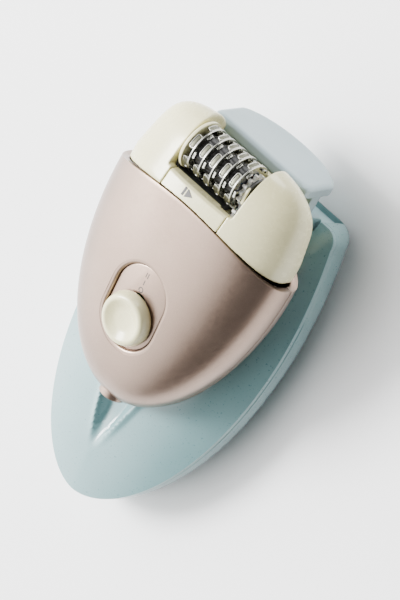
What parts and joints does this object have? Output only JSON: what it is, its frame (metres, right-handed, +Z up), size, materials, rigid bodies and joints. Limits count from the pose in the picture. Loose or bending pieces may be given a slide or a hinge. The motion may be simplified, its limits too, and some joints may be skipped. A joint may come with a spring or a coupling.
{
  "type": "epilator",
  "caption": "Corded epilator with a tweezing-disc drum and slide switch, lying in its clip-on ice cooler with a cooling plate behind the drum.",
  "frame": {"origin": "on the table, under the middle of the whole object's bounding box", "axes": "+X across the width to the object's right as seen from above with the head up, +Y from the sleeve's tip to the tweezing head, +Z up out of the switch face"},
  "size_m": [0.0728, 0.1364, 0.0586],
  "materials": {
    "shell": "satin metallic champagne-pink lacquer",
    "cream": "glossy moulded cream",
    "sleeve": "frosted translucent pale teal",
    "cooler": "satin pale grey-blue",
    "gel": "translucent blue gel pack",
    "steel": "pressed and polished",
    "brass": "bare",
    "black": "moulded",
    "nylon": "natural nylon",
    "board": "solder mask",
    "rubber": "soft"
  },
  "bodies": {
    "sleeve": {"sleeve_back": "sleeve", "sleeve_front": "sleeve"},
    "ice_pack": {"ice_pack": "gel", "fill_plug": "rubber", "cooling_hinge_pin": "steel"},
    "cooling_head": {"cooling_head": "cooler"},
    "handset": {"front_shell": "shell", "rear_shell": "shell", "head_frame": "cream", "screw_left": "steel", "screw_right": "steel", "screw_tip": "steel", "chassis": "nylon", "motor_can": "steel", "motor_end_cap": "black", "axle_upper": "steel", "axle_lower": "steel", "circuit_board": "board", "capacitor": "black", "switch_contact": "black", "power_inlet": "black", "inlet_pin_left": "brass", "inlet_pin_right": "brass", "switch_track": "shell"},
    "cartridge": {"cartridge_frame": "cream", "drum_shaft": "steel"},
    "drum": {"drum_core": "black", "drum_collar": "cream", "drum_gear": "nylon", "tweezer_disc_01": "steel", "tweezer_disc_02": "steel", "tweezer_disc_03": "steel", "tweezer_disc_04": "steel", "tweezer_disc_05": "steel", "tweezer_disc_06": "steel", "tweezer_disc_07": "steel", "tweezer_disc_08": "steel", "tweezer_disc_09": "steel", "tweezer_disc_10": "steel"},
    "idler_upper": {"idler_gear_upper": "nylon"},
    "idler_lower": {"idler_gear_lower": "nylon"},
    "rotor": {"motor_pinion": "brass", "motor_shaft": "steel", "motor_armature": "brass"},
    "switch": {"switch_button": "cream", "switch_carrier": "nylon"}
  },
  "joints": [
    {"name": "handset_lift", "type": "slide", "parent": "sleeve", "child": "handset", "axis": [0, -0.1271, 0.9919], "range_m": [0, 0.045]},
    {"name": "ice_pack_slide", "type": "slide", "parent": "sleeve", "child": "ice_pack", "axis": [0, 1, 0], "range_m": [0, 0.105]},
    {"name": "cooling_head_tilt", "type": "hinge", "parent": "ice_pack", "child": "cooling_head", "pos_m": [0, 0.0518, 0.0253], "axis": [1, 0, 0], "range_deg": [-10, 0], "stiffness_Nm_per_rad": 0.02, "springref_deg": 14.9},
    {"name": "cartridge_release", "type": "slide", "parent": "handset", "child": "cartridge", "axis": [0, 0.9919, 0.1271], "range_m": [0, 0.022]},
    {"name": "drum_spin", "type": "hinge", "parent": "cartridge", "child": "drum", "pos_m": [0, 0.05774, 0.05003], "axis": [1, 0, 0], "continuous": true},
    {"name": "idler_upper_spin", "type": "hinge", "parent": "handset", "child": "idler_upper", "pos_m": [0, 0.04684, 0.04578], "axis": [1, 0, 0], "continuous": true},
    {"name": "idler_lower_spin", "type": "hinge", "parent": "handset", "child": "idler_lower", "pos_m": [0, 0.03333, 0.04051], "axis": [1, 0, 0], "continuous": true},
    {"name": "motor_spin", "type": "hinge", "parent": "handset", "child": "rotor", "pos_m": [0, 0.0228, 0.03641], "axis": [1, 0, 0], "continuous": true},
    {"name": "switch_slide", "type": "slide", "parent": "handset", "child": "switch", "axis": [0, 0.9681, 0.2507], "range_m": [0, 0.0056]}
  ],
  "couplings": [
    {"joint": "idler_upper_spin", "follows": "drum_spin", "ratio": -0.8125},
    {"joint": "idler_lower_spin", "follows": "drum_spin", "ratio": 0.65},
    {"joint": "motor_spin", "follows": "drum_spin", "ratio": -1.625}
  ]
}
